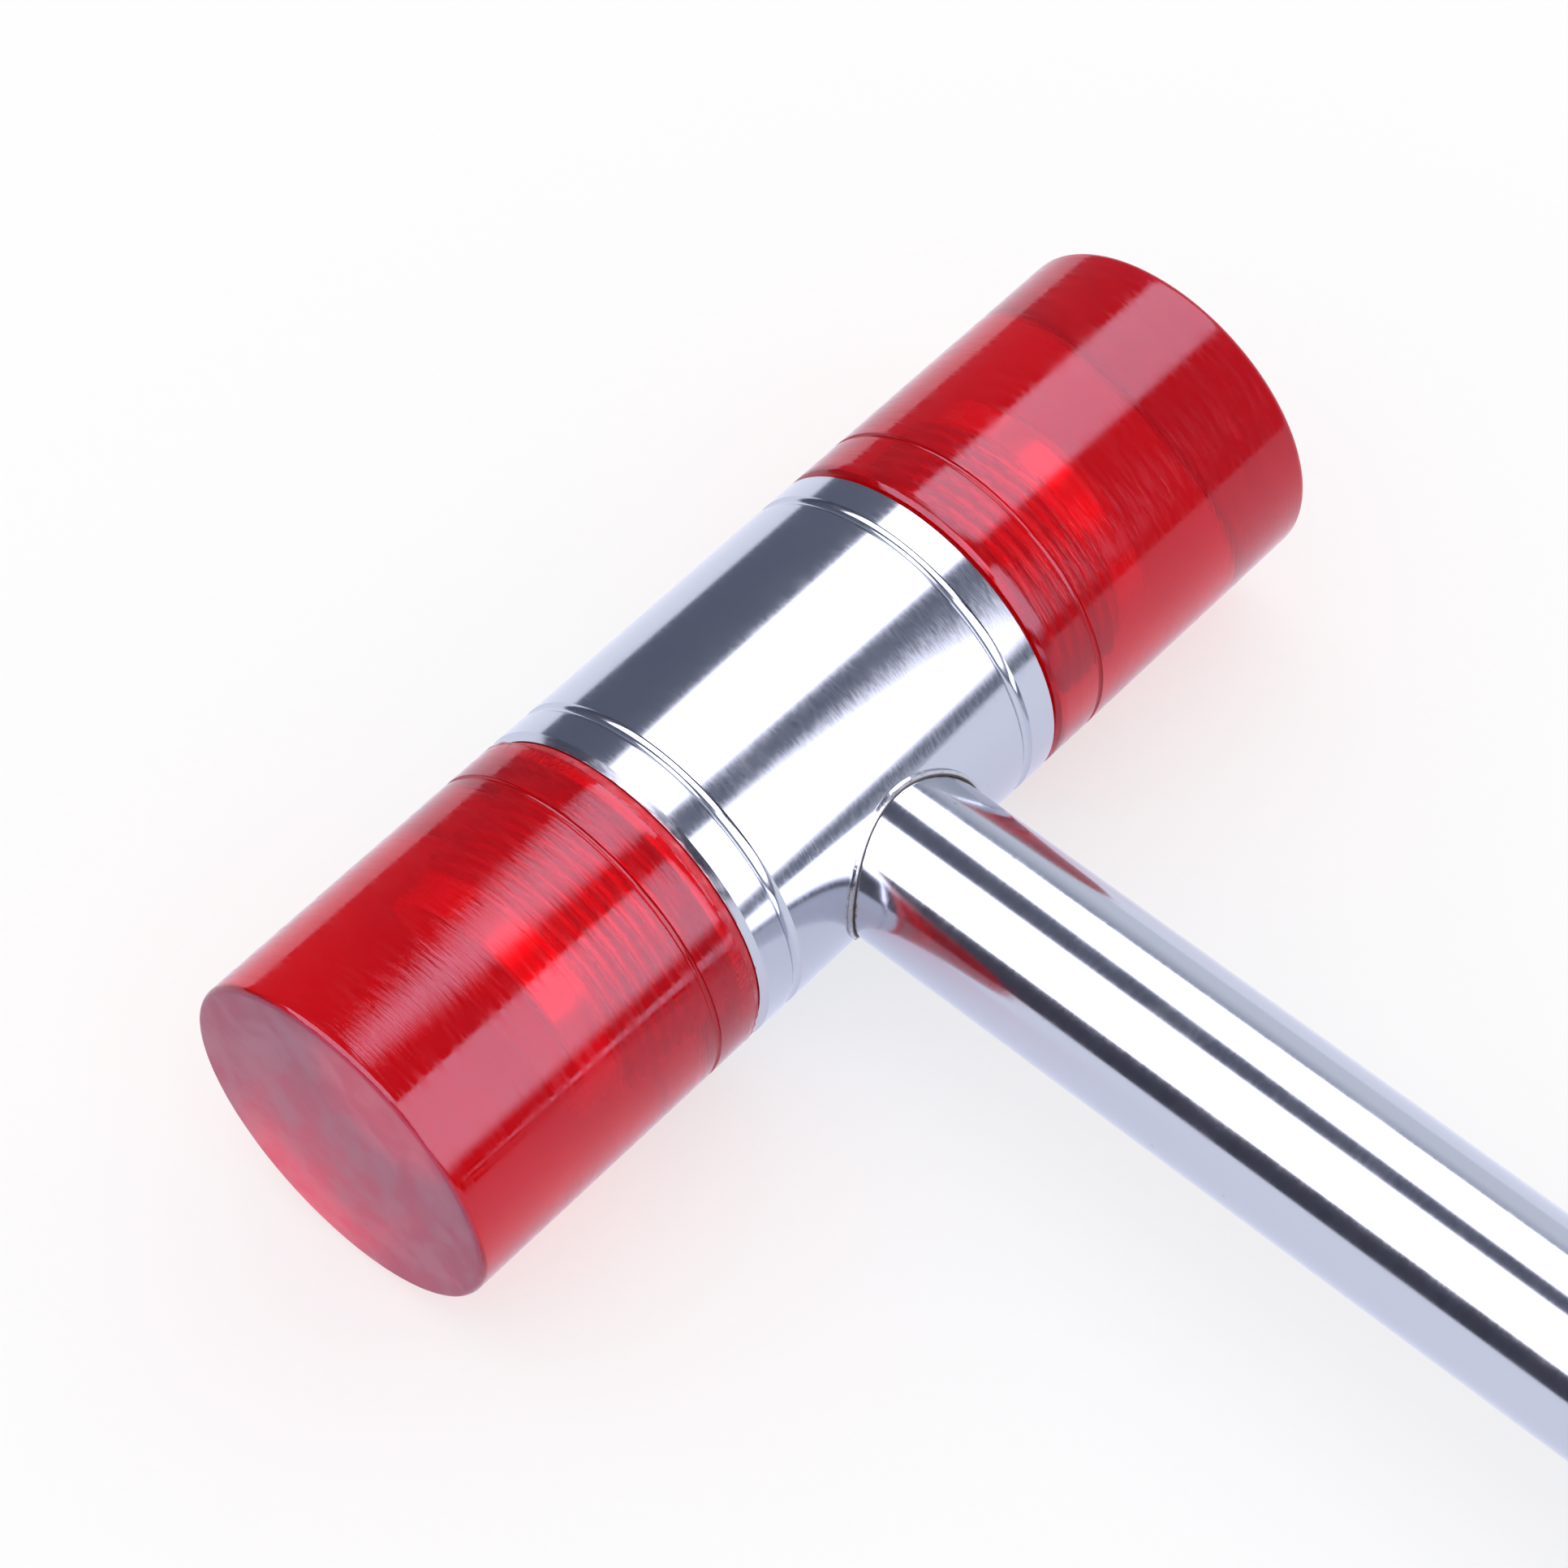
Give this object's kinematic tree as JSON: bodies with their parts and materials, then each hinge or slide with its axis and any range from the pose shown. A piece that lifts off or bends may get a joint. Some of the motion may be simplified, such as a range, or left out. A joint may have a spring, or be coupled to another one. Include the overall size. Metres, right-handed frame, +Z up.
{
  "type": "soft face hammer",
  "caption": "Soft face hammer: plated steel barrel head on a tube handle, with a screw-on clear red plastic striking face at each end and a ribbed grip.",
  "frame": {"origin": "middle of the footprint, on the surface that the hammer lies on", "axes": "+X along the head, towards the right face; +Y up the handle, from butt to head; +Z up from the surface"},
  "size_m": [0.112, 0.3, 0.035],
  "materials": {
    "head_plating": "bright plating over fine turning marks",
    "stud_steel": "machined",
    "face_plastic": "clear deep red, turned, frosted on the striking face",
    "braze": "dull, stained",
    "grip_vinyl": "matt moulded"
  },
  "bodies": {
    "hammer": {"head_body": "head_plating", "left_stud": "stud_steel", "right_stud": "stud_steel", "handle_tube": "head_plating", "handle_braze": "braze", "grip": "grip_vinyl"},
    "left_seat": {"left_washer": "stud_steel"},
    "left_cap": {"left_face": "face_plastic"},
    "right_seat": {"right_washer": "stud_steel"},
    "right_cap": {"right_face": "face_plastic"}
  },
  "joints": [
    {"name": "left_face_travel", "type": "slide", "parent": "hammer", "child": "left_seat", "axis": [-1, 0, 0], "range_m": [0, 0.0136]},
    {"name": "left_face_turn", "type": "hinge", "parent": "left_seat", "child": "left_cap", "pos_m": [-0.038, 0.1325, 0.0175], "axis": [-1, 0, 0], "range_deg": [0, 3240]},
    {"name": "right_face_travel", "type": "slide", "parent": "hammer", "child": "right_seat", "axis": [1, 0, 0], "range_m": [0, 0.0136]},
    {"name": "right_face_turn", "type": "hinge", "parent": "right_seat", "child": "right_cap", "pos_m": [0.038, 0.1325, 0.0175], "axis": [1, 0, 0], "range_deg": [0, 3240]}
  ],
  "couplings": [
    {"joint": "left_face_travel", "follows": "left_face_turn", "m_per_rad": 0.00023873},
    {"joint": "right_face_travel", "follows": "right_face_turn", "m_per_rad": 0.00023873}
  ]
}
